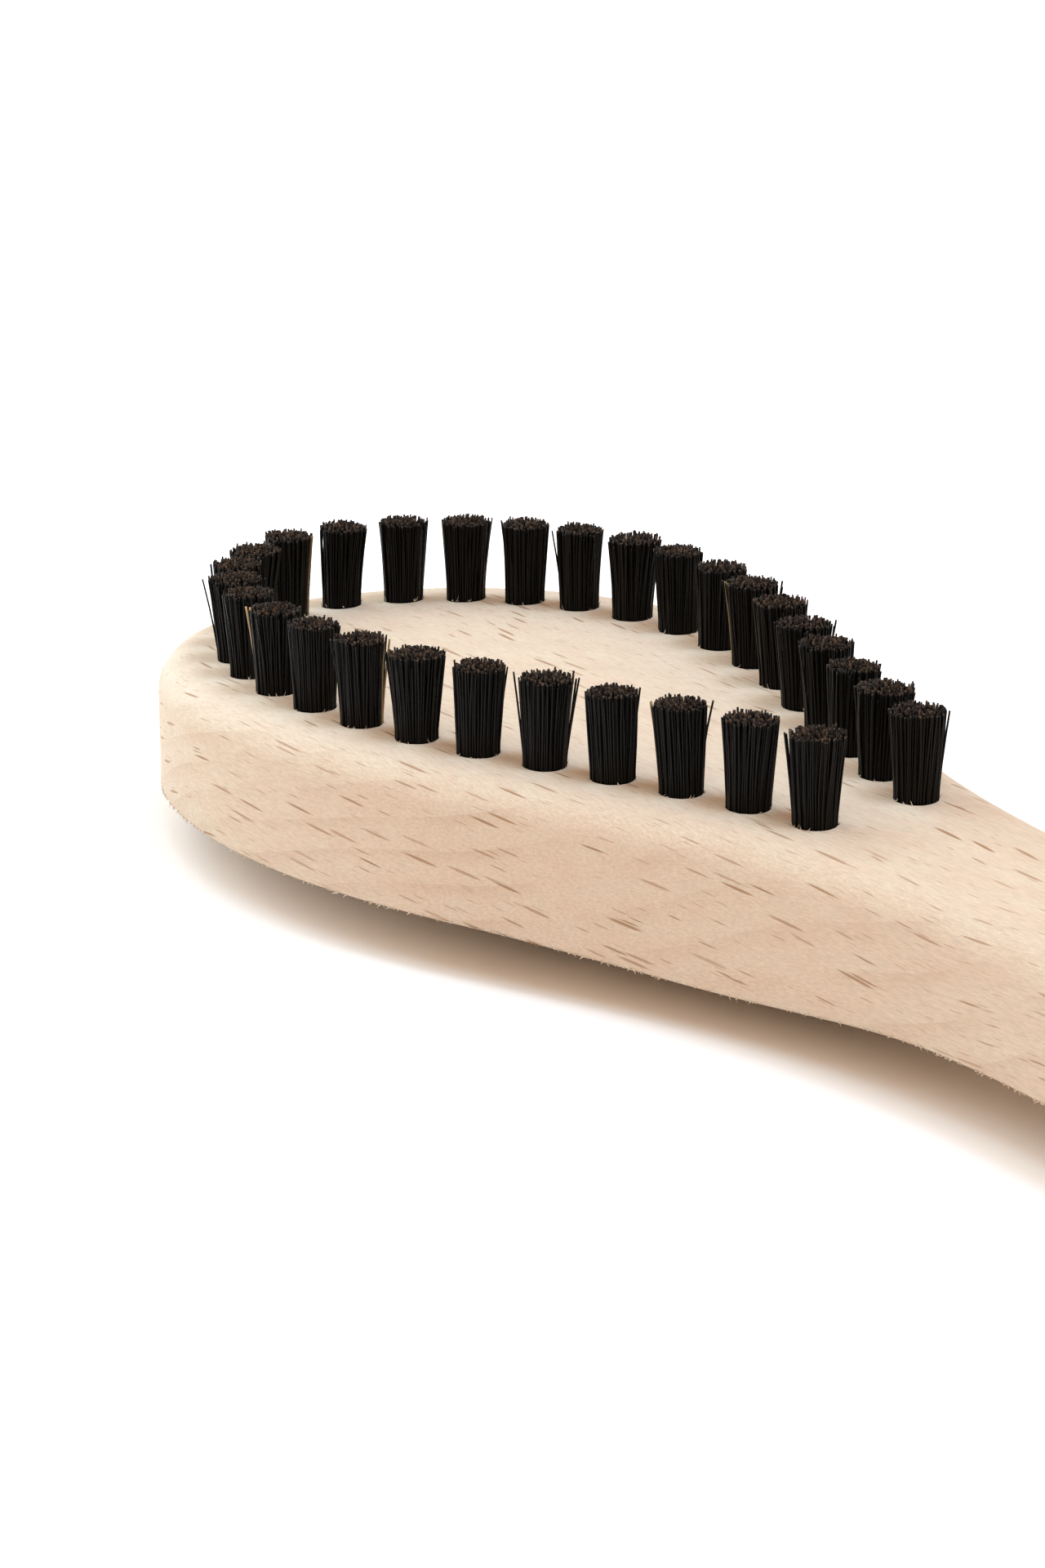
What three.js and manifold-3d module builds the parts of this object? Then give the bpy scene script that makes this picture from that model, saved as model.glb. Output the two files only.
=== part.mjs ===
// A clothes brush: one board of beech that is both head and handle, thirty bristle tufts in a
// single ring round the head, open towards the handle, and the flat-wire anchors that hold
// each tuft in its blind hole.
//
// Millimetres. The brush lies on its back. +X runs from the tip of the head to the end of the
// handle, +Z points up through the bristles, and the origin is the bottom centre of the brush.

import * as THREE from 'three';
import { mergeVertices } from 'three/addons/utils/BufferGeometryUtils.js';
import Module from 'manifold-3d';

const wasm = await Module();
wasm.setup();

const { degToRad, lerp, smoothstep } = THREE.MathUtils;

// Plan of the board
const LENGTH = 250;
const HEAD_HALF_WIDTH = 33.5;
const TIP_LENGTH = 45;                 // half ellipse, from the tip to the widest point
const FLANK_RADIUS = 80;               // convex arc behind the widest point
const FLANK_TAPER = degToRad(22);      // slope of the straight flank towards the neck
const NECK_RADIUS = 125;               // concave arc round the narrowest point
const NECK_HALF_WIDTH = 12;
const HANDLE_HALF_WIDTH = 15;
const SWELL_LENGTH = 70;               // from the narrowest neck to the widest handle

// Side view and section of the board
const FACE_HEIGHT = 21.5;              // top of the crown over the ground
const CROWN_FROM_TIP = 70;             // from here towards the tip the face falls away
const CROWN_RADIUS = 800;
const LAND_LENGTH_SHARE = 0.84;        // land along the middle of the back, as a share of the plan
const LAND_WIDTH_SHARE = 0.18;
const BACK_CURVE = 1.5;                // power by which the back rises from the land to the rim

// Measures that change along the board, as [distance from the tip, value]
const EDGE_RADII = [[115, 4], [175, 6.5]];                     // between face and side wall
const RIM_HEIGHTS = [[0, 4.6], [38, 5.9], [75, 6], [103, 5], [133, 6.7], [250, 6.3]];
const LAND_HEIGHTS = [[75, 0], [140, 3.4], [165, 3.4], [215, 0]];   // arched under the neck

// Bristle ring
const TUFTS_PER_SIDE = 15;
const TUFTS_ROUND_TIP = 5;             // on each side these stand at the closer pitch
const TIP_PITCH = 7.4;
const FLANK_PITCH = 8.05;
const RING_MARGIN = 8.9;               // from the plan's edge to the tufts' centres

// Tuft, hole and anchor
const HOLE_RADIUS = 2.3;
const HOLE_DEPTH = 10;
const DRILL_POINT = 1.4;               // depth of the cone that the drill leaves
const TUFT_BASE_RADIUS = 2.1;
const TUFT_TOP_RADIUS = 2.75;
const TUFT_HEIGHT = 9.5;               // trim height over the face
const TUFT_DOME = 0.35;
const ANCHOR_LENGTH = 5.4;
const ANCHOR_WIDTH = 2;
const ANCHOR_THICKNESS = 0.45;
const ANCHOR_BEVEL = 0.45;             // sheared lower corners that start the cut
const ANCHOR_DEPTH = 7.4;              // from the face to the middle of the anchor
const ANCHOR_ANGLE = degToRad(45);     // set across the grain, so that it can't split it
const ANCHORS_MODELLED = 2 * TUFTS_PER_SIDE - 1;   // the last one is left off
const CLEARANCE = 0.15;                // on each side of an anchor

const ROUND_SIDES = 16;
const CUT_OVERRUN = 3;                 // how far a cutter stands proud of the face

const TIP_X = -LENGTH / 2;
const CROWN_X = TIP_X + CROWN_FROM_TIP;

const wood = () => new THREE.MeshStandardMaterial({ color: 0xdcc5a6, roughness: 0.62, metalness: 0 });
const bristle = () => new THREE.MeshStandardMaterial({ color: 0x191412, roughness: 0.5, metalness: 0 });
const wire = () => new THREE.MeshStandardMaterial({ color: 0xb4afa5, roughness: 0.35, metalness: 0.9 });

// One side of the plan, from the tip to the handle's end, as curves with their step counts
function planCurves() {
  const halfTurn = Math.PI;
  const quarter = Math.PI / 2;
  const widestX = TIP_X + TIP_LENGTH;
  const flankDrop = FLANK_RADIUS * (1 - Math.cos(FLANK_TAPER));
  const neckRise = NECK_RADIUS * (1 - Math.cos(FLANK_TAPER));
  const straightDrop = HEAD_HALF_WIDTH - flankDrop - neckRise - NECK_HALF_WIDTH;
  const straightRun = straightDrop / Math.tan(FLANK_TAPER);
  const bends = (FLANK_RADIUS + NECK_RADIUS) * Math.sin(FLANK_TAPER);
  const neckX = widestX + bends + straightRun;

  const swellRise = HANDLE_HALF_WIDTH - NECK_HALF_WIDTH;
  const swellSlope = 2 * Math.atan(swellRise / SWELL_LENGTH);
  const swellRadius = SWELL_LENGTH / Math.sin(swellSlope) - NECK_RADIUS;
  const swellX = neckX + SWELL_LENGTH;
  const endLength = LENGTH / 2 - swellX;

  const arc = (x, y, rx, ry, from, to) => new THREE.EllipseCurve(x, y, rx, ry, from, to, from > to);
  const tip = arc(widestX, 0, TIP_LENGTH, HEAD_HALF_WIDTH, halfTurn, quarter);
  const flank = arc(widestX, HEAD_HALF_WIDTH - FLANK_RADIUS, FLANK_RADIUS, FLANK_RADIUS,
    quarter, quarter - FLANK_TAPER);
  const neck = arc(neckX, NECK_HALF_WIDTH + NECK_RADIUS, NECK_RADIUS, NECK_RADIUS,
    -quarter - FLANK_TAPER, -quarter + swellSlope);
  const straight = new THREE.LineCurve(flank.getPoint(1), neck.getPoint(0));
  const swell = arc(swellX, HANDLE_HALF_WIDTH - swellRadius, swellRadius, swellRadius,
    quarter + swellSlope, quarter);
  const end = arc(swellX, 0, endLength, HANDLE_HALF_WIDTH, quarter, 0);
  return [[tip, 14], [flank, 4], [straight, 2], [neck, 7], [swell, 4], [end, 9]];
}

// Points of one side of the plan, each with its outward normal
function planStations() {
  const stations = [];
  const addStation = (curve, t) => {
    const tangent = curve.getTangent(t);
    stations.push({ point: curve.getPoint(t), normal: new THREE.Vector2(-tangent.y, tangent.x) });
  };
  const curves = planCurves();
  for (const [curve, steps] of curves) {
    for (let i = 0; i < steps; i++) addStation(curve, i / steps);
  }
  addStation(curves.at(-1)[0], 1);
  return stations;
}

const insetPoint = (station, distance) => station.point.clone().addScaledVector(station.normal, -distance);

// Height of the bristle face: level on the handle, curving down towards the tip
function faceHeight(x) {
  const towardsTip = Math.min(x - CROWN_X, 0);
  return FACE_HEIGHT - towardsTip ** 2 / (2 * CROWN_RADIUS);
}

// A measure that changes smoothly from one of its known values along the board to the next
function measureAt(x, values) {
  const distance = x - TIP_X;
  const last = values.length - 1;
  const after = values.findIndex(([at], i) => i > 0 && (distance <= at || i === last));
  const [[from, valueBefore], [to, valueAfter]] = [values[after - 1], values[after]];
  return lerp(valueBefore, valueAfter, smoothstep(distance, from, to));
}

// A level of the board is one side's points from the tip to the end, top level first
function boardLevels(stations) {
  const levels = [];
  const edgeSteps = 4;
  for (let step = 0; step <= edgeSteps; step++) {
    const angle = (Math.PI / 2) * (step / edgeSteps);
    levels.push(stations.map((station) => {
      const radius = measureAt(station.point.x, EDGE_RADII);
      const { x, y } = insetPoint(station, radius * (1 - Math.sin(angle)));
      return new THREE.Vector3(x, y, faceHeight(x) - radius * (1 - Math.cos(angle)));
    }));
  }
  // The cambered back: shrinking copies of the plan that meet the land smoothly
  const backSteps = 4;
  for (let step = 0; step <= backSteps; step++) {
    const share = step / backSteps;
    levels.push(stations.map(({ point }) => new THREE.Vector3(
      point.x * lerp(1, LAND_LENGTH_SHARE, share),
      point.y * lerp(1, LAND_WIDTH_SHARE, share),
      lerp(measureAt(point.x, LAND_HEIGHTS), measureAt(point.x, RIM_HEIGHTS), (1 - share) ** BACK_CURVE),
    )));
  }
  return levels;
}

// Closed skin over the levels: each side's points and their mirror images form a ring
function skinLevels(levels) {
  const last = levels[0].length - 1;
  const ringSize = 2 * last;
  const mirrored = (i) => (ringSize - i) % ringSize;
  const positions = [];
  const triangles = [];
  for (const level of levels) {
    const farSide = level.slice(1, last).reverse().map((p) => new THREE.Vector3(p.x, -p.y, p.z));
    for (const p of [...level, ...farSide]) positions.push(p.x, p.y, p.z);
  }
  for (let level = 0; level < levels.length - 1; level++) {
    const upper = level * ringSize;
    const lower = upper + ringSize;
    for (let i = 0; i < ringSize; i++) {
      const next = (i + 1) % ringSize;
      triangles.push(upper + i, upper + next, lower + i);
      triangles.push(upper + next, lower + next, lower + i);
    }
  }
  const bottom = (levels.length - 1) * ringSize;
  for (let i = 0; i < last; i++) {
    const near = [i, i + 1];
    const far = near.map(mirrored);
    if (i > 0) {
      triangles.push(near[0], far[0], near[1]);
      triangles.push(bottom + near[0], bottom + near[1], bottom + far[0]);
    }
    if (i < last - 1) {
      triangles.push(far[0], far[1], near[1]);
      triangles.push(bottom + far[0], bottom + near[1], bottom + far[1]);
    }
  }
  const geometry = new THREE.BufferGeometry();
  geometry.setAttribute('position', new THREE.Float32BufferAttribute(positions, 3));
  geometry.setIndex(triangles);
  return geometry;
}

// Centres of one side's tufts, from the tip towards the handle, along the inset plan
function tuftCentres() {
  const finePoints = [];
  for (const [curve] of planCurves().slice(0, -1)) {
    const steps = 40;
    for (let i = 0; i < steps; i++) {
      const tangent = curve.getTangent(i / steps);
      const normal = new THREE.Vector2(-tangent.y, tangent.x);
      finePoints.push(insetPoint({ point: curve.getPoint(i / steps), normal }, RING_MARGIN));
    }
  }
  const route = new THREE.SplineCurve(finePoints);
  route.arcLengthDivisions = finePoints.length * 4;
  const routeLength = route.getLength();
  const centres = [];
  let along = TIP_PITCH / 2;
  for (let i = 0; i < TUFTS_PER_SIDE; i++) {
    centres.push(route.getPointAt(along / routeLength));
    along += i < TUFTS_ROUND_TIP - 1 ? TIP_PITCH : FLANK_PITCH;
  }
  return centres;
}

// Closed three.js geometry to a solid that can be joined and cut
function toSolid(geometry) {
  const bare = geometry.clone();
  bare.deleteAttribute('normal');
  bare.deleteAttribute('uv');
  const merged = mergeVertices(bare, 1e-4);
  const vertProperties = new Float32Array(merged.attributes.position.array);
  const triVerts = new Uint32Array(merged.index.array);
  return new wasm.Manifold(new wasm.Mesh({ numProp: 3, vertProperties, triVerts }));
}

function toGeometry(solid) {
  const { vertProperties, triVerts, numProp } = solid.getMesh();
  const positions = [];
  for (let i = 0; i < vertProperties.length; i += numProp) {
    positions.push(vertProperties[i], vertProperties[i + 1], vertProperties[i + 2]);
  }
  const geometry = new THREE.BufferGeometry();
  geometry.setAttribute('position', new THREE.Float32BufferAttribute(positions, 3));
  geometry.setIndex(Array.from(triVerts));
  geometry.computeVertexNormals();
  return geometry;
}

// Solid of revolution about Z from [radius, height] pairs, which start and end on the axis
function turned(profile) {
  const points = profile.map(([radius, height]) => new THREE.Vector2(radius, height));
  return new THREE.LatheGeometry(points, ROUND_SIDES).rotateX(Math.PI / 2);
}

// Space that an anchor needs, centred on its middle and as long as asked for
function anchorSlot(length) {
  const slot = new THREE.BoxGeometry(length, ANCHOR_THICKNESS + 2 * CLEARANCE, ANCHOR_WIDTH + 2 * CLEARANCE);
  return slot.rotateZ(ANCHOR_ANGLE).translate(0, 0, -ANCHOR_DEPTH);
}

// What the drill and the driven anchor take out of the board, with the face at height 0
function holeCutter() {
  const drill = toSolid(turned([
    [0, -HOLE_DEPTH - DRILL_POINT],
    [HOLE_RADIUS, -HOLE_DEPTH],
    [HOLE_RADIUS, CUT_OVERRUN],
    [0, CUT_OVERRUN],
  ]));
  return drill.add(toSolid(anchorSlot(ANCHOR_LENGTH + 2 * CLEARANCE)));
}

function bodyGeometry(holes) {
  let board = toSolid(skinLevels(boardLevels(planStations())));
  const cutter = holeCutter();
  for (const hole of holes) {
    board = board.subtract(cutter.translate([hole.x, hole.y, hole.z]));
  }
  return toGeometry(board);
}

// A bundle folded round its anchor: full and round in the hole, flared and domed above it
function tuftGeometry() {
  const foldHeight = -HOLE_DEPTH + CLEARANCE;
  const bundle = toSolid(turned([
    [0, foldHeight],
    [TUFT_BASE_RADIUS * 0.7, foldHeight + 0.3],
    [TUFT_BASE_RADIUS, foldHeight + 1.5],
    [TUFT_BASE_RADIUS, 0],
    [TUFT_TOP_RADIUS, TUFT_HEIGHT - TUFT_DOME],
    [0, TUFT_HEIGHT],
  ]));
  return toGeometry(bundle.subtract(toSolid(anchorSlot(4 * TUFT_BASE_RADIUS))));
}

// A cut of flat wire on edge, its lower corners sheared
function anchorGeometry() {
  const halfLength = ANCHOR_LENGTH / 2;
  const halfWidth = ANCHOR_WIDTH / 2;
  const outline = new THREE.Shape([
    new THREE.Vector2(halfLength, halfWidth),
    new THREE.Vector2(-halfLength, halfWidth),
    new THREE.Vector2(-halfLength, 0),
    new THREE.Vector2(-halfLength + ANCHOR_BEVEL, -halfWidth),
    new THREE.Vector2(halfLength - ANCHOR_BEVEL, -halfWidth),
    new THREE.Vector2(halfLength, 0),
  ]);
  const plate = new THREE.ExtrudeGeometry(outline, { depth: ANCHOR_THICKNESS, bevelEnabled: false });
  plate.translate(0, 0, -ANCHOR_THICKNESS / 2).rotateX(Math.PI / 2);
  return plate.rotateZ(ANCHOR_ANGLE).translate(0, 0, -ANCHOR_DEPTH);
}

function namedMesh(name, geometry, material, position = new THREE.Vector3()) {
  const mesh = new THREE.Mesh(geometry, material);
  mesh.name = name;
  mesh.position.copy(position);
  return mesh;
}

// Tuft positions by name: left is the +Y side, seen from the tip towards the handle
function tuftPositions() {
  const positions = [];
  for (const [side, sign] of [['left', 1], ['right', -1]]) {
    tuftCentres().forEach(({ x, y }, index) => {
      const label = `${side}_${String(index + 1).padStart(2, '0')}`;
      positions.push({ label, position: new THREE.Vector3(x, sign * y, faceHeight(x)) });
    });
  }
  return positions;
}

const brush = new THREE.Group();
const tufts = tuftPositions();
brush.add(namedMesh('beech_body', bodyGeometry(tufts.map((tuft) => tuft.position)), wood()));
tufts.forEach(({ label, position }, index) => {
  brush.add(namedMesh(`tuft_${label}`, tuftGeometry(), bristle(), position));
  if (index < ANCHORS_MODELLED) {
    brush.add(namedMesh(`anchor_${label}`, anchorGeometry(), wire(), position));
  }
});

export default brush;
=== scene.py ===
"""Looks of the clothes brush: a fine board of beech, bristle by bristle tufts and wire anchors.

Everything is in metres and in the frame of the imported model: +X runs from the tip of the head
to the end of the handle, +Z points up through the bristles, and the brush lies on its back.
"""
import math

import bpy
import numpy as np
from mathutils import Matrix, Vector, noise


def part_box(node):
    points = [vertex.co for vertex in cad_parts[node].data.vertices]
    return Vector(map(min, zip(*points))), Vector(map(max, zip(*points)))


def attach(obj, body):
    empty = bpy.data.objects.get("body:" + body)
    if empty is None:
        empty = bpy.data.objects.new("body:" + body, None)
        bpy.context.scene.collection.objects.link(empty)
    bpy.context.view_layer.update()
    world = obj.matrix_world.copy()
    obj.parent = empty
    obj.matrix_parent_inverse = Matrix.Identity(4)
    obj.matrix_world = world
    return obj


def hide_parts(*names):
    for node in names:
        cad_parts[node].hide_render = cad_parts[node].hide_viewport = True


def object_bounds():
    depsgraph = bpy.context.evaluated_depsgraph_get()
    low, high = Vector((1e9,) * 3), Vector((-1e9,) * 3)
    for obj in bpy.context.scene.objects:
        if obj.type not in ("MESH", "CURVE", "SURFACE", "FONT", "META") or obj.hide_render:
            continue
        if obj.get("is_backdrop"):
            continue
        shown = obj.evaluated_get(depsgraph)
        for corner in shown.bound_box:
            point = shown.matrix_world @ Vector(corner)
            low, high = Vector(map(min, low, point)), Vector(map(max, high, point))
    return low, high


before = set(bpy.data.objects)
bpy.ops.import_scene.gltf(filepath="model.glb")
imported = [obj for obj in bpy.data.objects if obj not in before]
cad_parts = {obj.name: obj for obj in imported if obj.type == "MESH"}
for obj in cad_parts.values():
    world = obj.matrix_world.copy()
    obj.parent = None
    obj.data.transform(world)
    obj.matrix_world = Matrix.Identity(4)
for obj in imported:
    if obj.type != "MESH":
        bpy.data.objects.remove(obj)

MM = 0.001
CAD_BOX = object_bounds()

# Plan of the board. Its length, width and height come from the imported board.
BOARD_LOW, BOARD_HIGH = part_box("beech_body")
TIP_X = BOARD_LOW.x
END_X = BOARD_HIGH.x
HEAD_HALF_WIDTH = BOARD_HIGH.y
FACE_HEIGHT = BOARD_HIGH.z
TIP_LENGTH = 45 * MM                     # half ellipse, from the tip to the widest point
FLANK_RADIUS = 80 * MM
FLANK_TAPER = math.radians(22)
NECK_RADIUS = 125 * MM
NECK_HALF_WIDTH = 12 * MM
HANDLE_HALF_WIDTH = 15 * MM
SWELL_LENGTH = 70 * MM                   # from the narrowest neck to the widest handle

# Side view and section of the board
CROWN_X = TIP_X + 70 * MM                # from here towards the tip the face falls away
CROWN_RADIUS = 800 * MM
LAND_LENGTH_SHARE = 0.84                 # land along the middle of the back
LAND_WIDTH_SHARE = 0.18
BACK_CURVE = 1.5                         # power by which the back rises from land to rim
RIM_WEAR = 0.3 * MM                      # the sharp lower corner is just taken off

# Measures that change along the board: distances from the tip and values, in millimetres
EDGE_RADII = ((115, 175), (4, 6.5))
RIM_HEIGHTS = ((0, 38, 75, 103, 133, 250), (4.6, 5.9, 6, 5, 6.7, 6.3))
LAND_HEIGHTS = ((75, 140, 165, 215), (0, 3.4, 3.4, 0))

# Steps of the fine board mesh
STATIONS = 700                           # along one side
EDGE_STEPS = 8
WALL_STEPS = 5
BACK_STEPS = 12
FACE_RUNGS = 12                          # across the face
LAND_RUNGS = 2

# Unevenness of the hand-sanded wall and back
WAVINESS = 0.05 * MM
SLOW_WAVE = 9 * MM                       # from one hollow to the next
FINE_WAVE = 1.3 * MM
FINE_WAVE_SHARE = 0.35                   # height of the fine waves as a share of the slow ones'

# Holes
HOLE_RADIUS = 2.3 * MM
HOLE_DEPTH = 10 * MM
DRILL_POINT = 1.4 * MM
HOLE_SIDES = 56
MOUTH_TEAR = 0.09 * MM                   # how far the mouth's edge wanders in and out
MOUTH_LOBES = 4                          # the higher, the more often it does
TORN_DEPTH = 0.3 * MM                    # below this the hole is round
CUT_OVERRUN = 2 * MM                     # how far a cutter stands proud of the face
ANCHOR_DEPTH = 7.4 * MM                  # from the face to the middle of an anchor
ANCHOR_ANGLE = math.radians(45)
SLOT_SIZE = (5.7 * MM, 0.75 * MM, 2.3 * MM)

# Bristles
TUFT_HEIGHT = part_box("tuft_left_15")[1].z - FACE_HEIGHT
BRISTLE_RADIUS = 0.13 * MM
BRISTLE_PITCH = 0.268 * MM
ROW_SPACING = 0.866 * BRISTLE_PITCH      # of close-packed rows
BUNDLE_RADIUS = 2.32 * MM                # the bundle fills its hole
TOP_RADIUS = 2.95 * MM
DOME = 0.28 * MM
BRISTLE_SIDES = 5
BUNDLE_PARTING = 0.42 * MM               # the anchor holds the two halves this far from its middle
FOLD_DROP = 1.25 * MM                    # from the anchor's middle to the innermost fold
FOLD_SPREAD = 1.1 * MM                   # from there to the outermost fold
SPLAYED_SHARE = 0.028                    # of the outer bristles, those that stand off the tuft
SPLAY = (0.15 * MM, 0.75 * MM)
OUTER_SPREAD = 0.72                      # from this share of the bundle's radius on, it is outer
PLACE_JITTER = 0.022 * MM
LEG_JITTER = 0.012 * MM
WIDTHS = (0.82, 1.08)                    # of single bristles, as shares of the usual width
TAPER = 0.12                             # a bristle's tip is this much thinner
BLOND_SHARE = 0.0015                     # bristles that are paler than the rest
BLOND_PALENESS = (0.05, 0.25)
USUAL_TIP = 0.12 * MM                    # how far a tip wanders
STRAY_TIP = 0.45 * MM                    # how far the tip of a stray bristle does
STRAY_SHARE = 0.04
TRIM_ERROR = 0.11 * MM
SHORT_SHARE = 0.12                       # bristles that end lower than they were trimmed to
SHORTER_BY = (0.1 * MM, 0.7 * MM)
TUFT_LEAN = 0.16 * MM                    # of a whole tuft, at its top
TUFT_TOPS = (0.95, 1.05)                 # how wide a whole tuft's top is, as a share of the usual
TUFT_SQUASH = 0.03
BOW = 0.06 * MM                          # of one bristle, half way up

# Points of a bristle's leg, from the tip down into the hole, as shares of its height
LEG_STEPS = (1, 0.96, 0.7, 0.4, 0.12, -0.1)
FACE_STEP = 4                            # the last of these above the face

# Pale bristles that catch the eye: tuft, side of it they stand on in degrees, how pale, splay
PALE_BRISTLES = (
    ("tuft_right_06", -128, 1.0, 0.3 * MM),
    ("tuft_right_08", 44, 0.55, 0.1 * MM),
    ("tuft_right_13", -112, 0.5, 0.2 * MM),
    ("tuft_right_01", -70, 0.35, 0.0),
    ("tuft_right_01", -20, 0.25, 0.0),
    ("tuft_left_09", -80, 0.5, 0.2 * MM),
)

# Wood fibres torn up by the drill at the mouths of the holes and by the saw along the rim
MOUTH_FIBRES = 9                         # at each hole
RIM_FIBRES = 650                         # on each side of the board
FIBRE_LENGTH = (0.15 * MM, 0.5 * MM)
FIBRE_RADIUS = 0.055 * MM

SEED = 4111

# Ray flecks of the beech: the size of a cell that holds one (along the grain, across it, deep),
# the share of a cell that a fleck reaches over, the share of cells with a fleck, and the colour
RAY_TURN = math.radians(59)
STRONG_CELL = (10 * MM, 0.56 * MM, 4.5 * MM)
STRONG_REACH = 0.33
STRONG_KEPT = 0.95
STRONG_COLOUR = (0.29, 0.172, 0.092, 1)
FAINT_CELL = (4.5 * MM, 0.34 * MM, 4 * MM)
FAINT_REACH = 0.3
FAINT_KEPT = 0.8
FAINT_COLOUR = (0.35, 0.235, 0.145, 1)

# Growth rings: slope of their surfaces along and across the brush, and the distance between them
RING_SLOPE_ALONG = -0.39
RING_SLOPE_ACROSS = 0.3
RING_SPACING = 4.3 * MM
RING_WANDER = 9 * MM
RING_COLOUR = (0.45, 0.32, 0.225, 1)

# Other colours of the wood
CREAM = (0.565, 0.480, 0.365, 1)         # the face
TAN = (0.565, 0.478, 0.368, 1)           # the side wall
MOTTLE = (0.555, 0.436, 0.330, 1)
EDGE_HIGHLIGHT = (0.61, 0.53, 0.43, 1)             # painted highlight on the rounded edge between face and wall
FIBRE = (0.39, 0.28, 0.19, 1)

# Colours of the bristles
BLACK = (0.0040, 0.0042, 0.0036, 1)
BROWN = (0.011, 0.0085, 0.007, 1)
STREAK = (0.010, 0.009, 0.008, 1)
DARK_TIP = (0.010, 0.007, 0.005, 1)
LIGHT_TIP = (0.105, 0.066, 0.042, 1)
BLOND = (0.52, 0.36, 0.17, 1)

# Colours of the anchors' wire
DULL_WIRE = (0.42, 0.41, 0.39, 1)
BRIGHT_WIRE = (0.62, 0.60, 0.57, 1)

# Camera
AIM = Vector((-47.5, -19.9, 20.0)) * MM
CAMERA_AZIMUTH = math.radians(53.9)
CAMERA_ELEVATION = math.radians(18.53)
CAMERA_DISTANCE = 442.9 * MM
CAMERA_LENS = 99.93
CAMERA_SENSOR = 36                       # its long side, in millimetres as for the lens

# Floor
FLOOR_COLOUR = (0.93, 0.92, 0.90, 1)
FLOOR_HALF_SIZE = 3.0                    # in metres
FLOOR_GAP = 0.02 * MM                    # keeps it off the land that the brush lies on

# Light: a warm glow from all round, two far lamps and one near lamp, all cooler than the glow
GLOW = 0.975
GLOW_COLOUR = (1.0, 0.67, 0.46, 1)
OVERHEAD = 2.23
OVERHEAD_COLOUR = (0.59, 0.78, 1.0)
FRONT = 0.55
FRONT_COLOUR = (0.42, 0.77, 1.0)
SIDE = 4.7
SIDE_COLOUR = (0.61, 0.85, 1.0)
SIDE_SIZE = 0.62
SIDE_DISTANCE = 0.6
FAR_LAMP_SPREAD = math.radians(22)
FAR_LAMP_DISTANCE = 2.0


# ---------------------------------------------------------------- small helpers

def smoothstep(value, low, high):
    t = np.clip((value - low) / (high - low), 0, 1)
    return t * t * (3 - 2 * t)


def measure_at(x, measure):
    """A measure that changes smoothly from one of its known values to the next, in metres."""
    places, values = measure
    distance = (x - TIP_X) / MM
    result = values[0]
    for start, end, before, after in zip(places, places[1:], values, values[1:]):
        result = result + (after - before) * smoothstep(distance, start, end)
    return result * MM


def face_height(x):
    towards_tip = np.minimum(x - CROWN_X, 0)
    return FACE_HEIGHT - towards_tip ** 2 / (2 * CROWN_RADIUS)


def new_object(name, vertices, faces, materials):
    mesh = bpy.data.meshes.new(name)
    mesh.from_pydata([tuple(v) for v in vertices], [], [tuple(f) for f in faces])
    mesh.validate()
    for material in materials:
        mesh.materials.append(material)
    mesh.shade_smooth()
    made = bpy.data.objects.new(name, mesh)
    bpy.context.scene.collection.objects.link(made)
    return made


def tuft_centre(name):
    low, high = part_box(name)
    return ((low.x + high.x) / 2, (low.y + high.y) / 2)


# ---------------------------------------------------------------- board

def arc(centre, radii, start, end, steps=400):
    """Points of an elliptic arc without its last one."""
    angles = np.linspace(start, end, steps, endpoint=False)
    x = centre[0] + radii[0] * np.cos(angles)
    y = centre[1] + radii[1] * np.sin(angles)
    return np.column_stack([x, y])


def plan_points():
    """One side of the plan from the tip to the end, in dense points."""
    quarter = math.pi / 2
    widest_x = TIP_X + TIP_LENGTH
    flank_drop = FLANK_RADIUS * (1 - math.cos(FLANK_TAPER))
    neck_rise = NECK_RADIUS * (1 - math.cos(FLANK_TAPER))
    straight_drop = HEAD_HALF_WIDTH - flank_drop - neck_rise - NECK_HALF_WIDTH
    straight_run = straight_drop / math.tan(FLANK_TAPER)
    neck_x = widest_x + (FLANK_RADIUS + NECK_RADIUS) * math.sin(FLANK_TAPER) + straight_run
    swell_slope = 2 * math.atan((HANDLE_HALF_WIDTH - NECK_HALF_WIDTH) / SWELL_LENGTH)
    swell_radius = SWELL_LENGTH / math.sin(swell_slope) - NECK_RADIUS
    swell_x = neck_x + SWELL_LENGTH
    return np.vstack([
        arc((widest_x, 0), (TIP_LENGTH, HEAD_HALF_WIDTH), math.pi, quarter),
        arc((widest_x, HEAD_HALF_WIDTH - FLANK_RADIUS), (FLANK_RADIUS, FLANK_RADIUS),
            quarter, quarter - FLANK_TAPER),
        arc((neck_x, NECK_HALF_WIDTH + NECK_RADIUS), (NECK_RADIUS, NECK_RADIUS),
            -quarter - FLANK_TAPER, -quarter + swell_slope),
        arc((swell_x, HANDLE_HALF_WIDTH - swell_radius), (swell_radius, swell_radius),
            quarter + swell_slope, quarter),
        arc((swell_x, 0), (END_X - swell_x, HANDLE_HALF_WIDTH), quarter, 0),
        [[END_X, 0]],
    ])


def plan_stations():
    """Evenly spaced points of one side of the plan, with their outward normals."""
    dense = plan_points()
    along = np.concatenate([[0], np.cumsum(np.linalg.norm(np.diff(dense, axis=0), axis=1))])
    even = np.linspace(0, along[-1], STATIONS + 1)
    points = np.column_stack([np.interp(even, along, dense[:, i]) for i in range(2)])
    points[0, 1] = points[-1, 1] = 0
    tangents = np.gradient(points, axis=0)
    tangents[[0, -1], 0] = 0
    tangents /= np.linalg.norm(tangents, axis=1)[:, None]
    return points, np.column_stack([-tangents[:, 1], tangents[:, 0]])


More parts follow.
